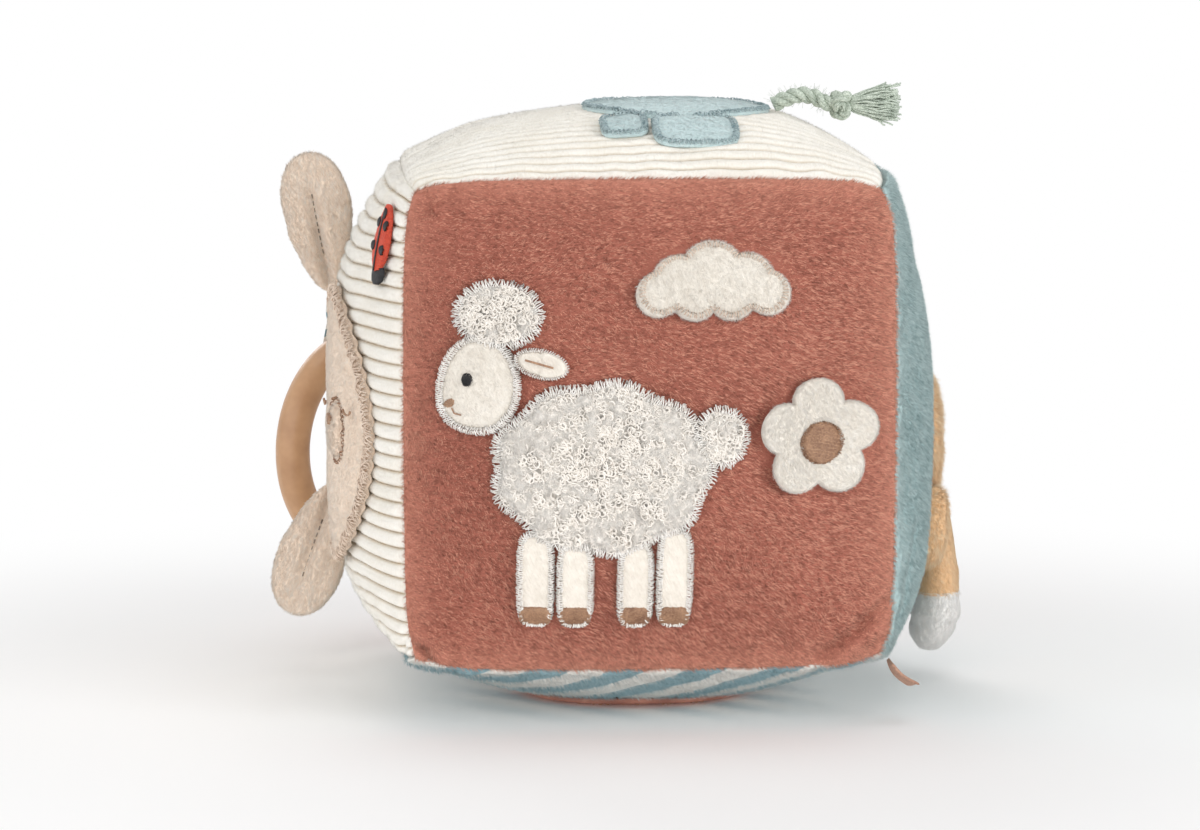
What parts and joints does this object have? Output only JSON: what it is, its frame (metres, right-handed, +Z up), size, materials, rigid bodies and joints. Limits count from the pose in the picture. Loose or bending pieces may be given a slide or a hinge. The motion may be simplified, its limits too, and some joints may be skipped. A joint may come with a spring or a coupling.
{
  "type": "soft fabric block",
  "caption": "Stuffed fabric activity block with crowned panels, appliques, soft ears and tail, rope, tag and a teething ring on a ribbon.",
  "frame": {"origin": "centre of the flat face of the bottom patch that the block rests on", "axes": "+Z up; the front panel faces -Y; +X to the right as seen from the front"},
  "size_m": [0.1963, 0.1881, 0.1707],
  "materials": {
    "beige_plush": "soft plush",
    "black_stitching": "satin stitch",
    "blue_velour": "short-pile velour",
    "brown_patch": "imitation leather",
    "caramel_plush": "soft plush",
    "cream_corduroy": "wide-wale corduroy",
    "cream_felt": "brushed felt",
    "filling_fibre": "fibre fill",
    "rattle_plastic": "satin",
    "red_stitching": "satin stitch",
    "ring_plastic": "satin",
    "sage_rope": "twisted cotton",
    "striped_ribbon": "printed ribbon",
    "striped_velour": "velour with diagonal stripes",
    "tag_cloth": "woven tape",
    "tan_stitching": "satin stitch",
    "terracotta_velour": "short-pile velour",
    "white_fleece": "looped fleece",
    "white_plush": "soft plush"
  },
  "bodies": {
    "block": {"animal_body": "caramel_plush", "animal_ear_back": "caramel_plush", "animal_ear_front": "caramel_plush", "animal_head": "caramel_plush", "back_panel": "terracotta_velour", "bear_head": "beige_plush", "bear_muzzle": "white_plush", "bottom_panel": "striped_velour", "bottom_patch": "brown_patch", "cloud": "cream_felt", "filling_lower": "filling_fibre", "filling_upper": "filling_fibre", "flower_centre": "tan_stitching", "flower_petals": "cream_felt", "front_panel": "terracotta_velour", "ladybird_body": "red_stitching", "ladybird_head": "black_stitching", "lamb_ear": "cream_felt", "lamb_fleece": "white_fleece", "lamb_head": "cream_felt", "lamb_leg_1": "cream_felt", "lamb_leg_2": "cream_felt", "lamb_leg_3": "cream_felt", "lamb_leg_4": "cream_felt", "lamb_tail": "white_fleece", "lamb_topknot": "white_fleece", "left_panel": "cream_corduroy", "rattle_shell_lower": "rattle_plastic", "rattle_shell_upper": "rattle_plastic", "right_panel": "blue_velour", "top_applique": "blue_velour", "top_foot_large": "blue_velour", "top_foot_small": "blue_velour", "top_panel": "cream_corduroy"},
    "ear_upper": {"ear_upper_front": "beige_plush", "ear_upper_back": "beige_plush", "ear_upper_wadding": "filling_fibre"},
    "ear_lower": {"ear_lower_front": "beige_plush", "ear_lower_back": "beige_plush", "ear_lower_wadding": "filling_fibre"},
    "strap": {"ring_strap": "striped_ribbon"},
    "ring": {"ring": "ring_plastic"},
    "tail": {"tail_upper": "caramel_plush", "tail_tip": "white_plush"},
    "flap": {"side_flap": "caramel_plush"},
    "rope": {"rope_tail": "sage_rope", "rope_knot": "sage_rope", "rope_tassel": "sage_rope"},
    "tag": {"side_tag": "tag_cloth"},
    "beads": {"rattle_bead_1": "rattle_plastic", "rattle_bead_2": "rattle_plastic", "rattle_bead_3": "rattle_plastic"}
  },
  "joints": [
    {"name": "ear_upper_flop", "type": "hinge", "parent": "block", "child": "ear_upper", "pos_m": [-0.08382, 0.02503, 0.10992], "axis": [0.9703, -0.1712, 0.1711], "range_deg": [-35, 35], "stiffness_Nm_per_rad": 0.02},
    {"name": "ear_lower_flop", "type": "hinge", "parent": "block", "child": "ear_lower", "pos_m": [-0.08281, 0.02985, 0.0548], "axis": [-0.9197, 0.2321, 0.3167], "range_deg": [-35, 35], "stiffness_Nm_per_rad": 0.02},
    {"name": "strap_swing", "type": "hinge", "parent": "block", "child": "strap", "pos_m": [-0.0656, 0.0656, 0.13196], "axis": [0.7071, 0.7071, 0], "range_deg": [0, 90]},
    {"name": "ring_turn", "type": "hinge", "parent": "strap", "child": "ring", "pos_m": [-0.0744, 0.0744, 0.0602], "axis": [-0.7071, 0.7071, 0], "continuous": true},
    {"name": "tail_lift", "type": "hinge", "parent": "block", "child": "tail", "pos_m": [0.08618, 0.01263, 0.051], "axis": [0, -1, 0], "range_deg": [-8, 90], "stiffness_Nm_per_rad": 0.02},
    {"name": "flap_lift", "type": "hinge", "parent": "block", "child": "flap", "pos_m": [0.08738, -0.01183, 0.05799], "axis": [0, -1, 0], "range_deg": [0, 80], "stiffness_Nm_per_rad": 0.005},
    {"name": "rope_bend", "type": "hinge", "parent": "block", "child": "rope", "pos_m": [0.0385, -0.008, 0.16548], "axis": [0, -1, 0], "range_deg": [-8, 60], "stiffness_Nm_per_rad": 0.02},
    {"name": "tag_fold", "type": "hinge", "parent": "block", "child": "tag", "pos_m": [0.06548, -0.05813, 0.01647], "axis": [0, -1, 0], "range_deg": [-30, 80], "stiffness_Nm_per_rad": 0.002},
    {"name": "bead_roll", "type": "hinge", "parent": "block", "child": "beads", "pos_m": [0, 0, 0.082], "axis": [0, 1, 0], "continuous": true}
  ]
}
